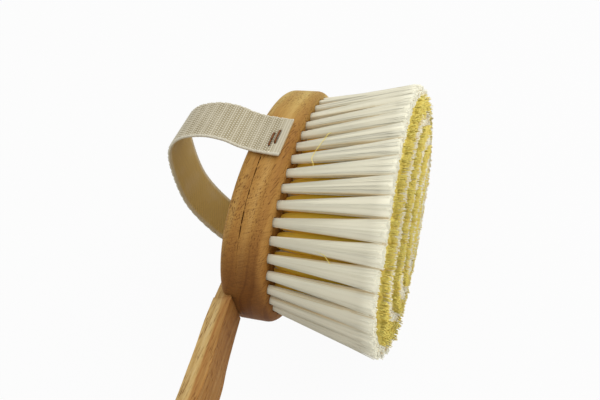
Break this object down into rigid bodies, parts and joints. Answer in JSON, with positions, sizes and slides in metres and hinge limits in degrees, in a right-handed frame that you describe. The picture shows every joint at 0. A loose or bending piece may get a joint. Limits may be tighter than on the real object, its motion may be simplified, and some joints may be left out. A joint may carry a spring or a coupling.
{
  "type": "bath brush",
  "caption": "Bath brush with an oval two-part wooden head, flared fibre tufts, a webbing hand strap and a long handle that slides into a dovetail slot.",
  "frame": {"origin": "centre of the bristle trim, at the middle tuft's flat tip", "axes": "+X along the brush away from the handle, -Y out of the bristles, +Z across the head"},
  "size_m": [0.4049, 0.1174, 0.1016],
  "materials": {
    "head_beech": "satin oiled beech",
    "handle_beech": "satin oiled beech",
    "webbing": "woven cotton webbing",
    "draw_wire": "drawn wire",
    "copper_staple": "coppered staple wire",
    "ivory_fibre": "ivory brush fibre",
    "straw_fibre": "straw-yellow brush fibre"
  },
  "bodies": {
    "head": {"back_cover": "head_beech", "bristle_plate": "head_beech", "draw_wire": "draw_wire", "far_staple_1": "copper_staple", "far_staple_2": "copper_staple", "hand_strap": "webbing", "near_staple_1": "copper_staple", "near_staple_2": "copper_staple", "outer_tuft_01": "ivory_fibre", "outer_tuft_02": "ivory_fibre", "outer_tuft_03": "ivory_fibre", "outer_tuft_04": "ivory_fibre", "outer_tuft_05": "ivory_fibre", "outer_tuft_06": "ivory_fibre", "outer_tuft_07": "ivory_fibre", "outer_tuft_08": "ivory_fibre", "outer_tuft_09": "ivory_fibre", "outer_tuft_10": "ivory_fibre", "outer_tuft_11": "ivory_fibre", "outer_tuft_12": "ivory_fibre", "outer_tuft_13": "ivory_fibre", "outer_tuft_14": "ivory_fibre", "outer_tuft_15": "ivory_fibre", "outer_tuft_16": "ivory_fibre", "outer_tuft_17": "ivory_fibre", "outer_tuft_18": "ivory_fibre", "outer_tuft_19": "ivory_fibre", "outer_tuft_20": "ivory_fibre", "outer_tuft_21": "ivory_fibre", "outer_tuft_22": "ivory_fibre", "outer_tuft_23": "ivory_fibre", "outer_tuft_24": "ivory_fibre", "outer_tuft_25": "ivory_fibre", "outer_tuft_26": "ivory_fibre", "outer_tuft_27": "ivory_fibre", "outer_tuft_28": "ivory_fibre", "outer_tuft_29": "ivory_fibre", "outer_tuft_30": "ivory_fibre", "outer_tuft_31": "ivory_fibre", "outer_tuft_32": "ivory_fibre", "outer_tuft_33": "ivory_fibre", "outer_tuft_34": "ivory_fibre", "outer_tuft_35": "ivory_fibre", "outer_tuft_36": "ivory_fibre", "outer_tuft_37": "ivory_fibre", "outer_tuft_38": "ivory_fibre", "outer_tuft_39": "ivory_fibre", "outer_tuft_40": "ivory_fibre", "tuft_middle_row": "ivory_fibre", "tuft_ring_2": "straw_fibre", "tuft_ring_3": "ivory_fibre", "tuft_ring_4": "straw_fibre"},
    "handle": {"handle": "handle_beech"}
  },
  "joints": [
    {"name": "handle_slide", "type": "slide", "parent": "head", "child": "handle", "axis": [-1, 0, 0], "range_m": [0, 0.075]}
  ]
}
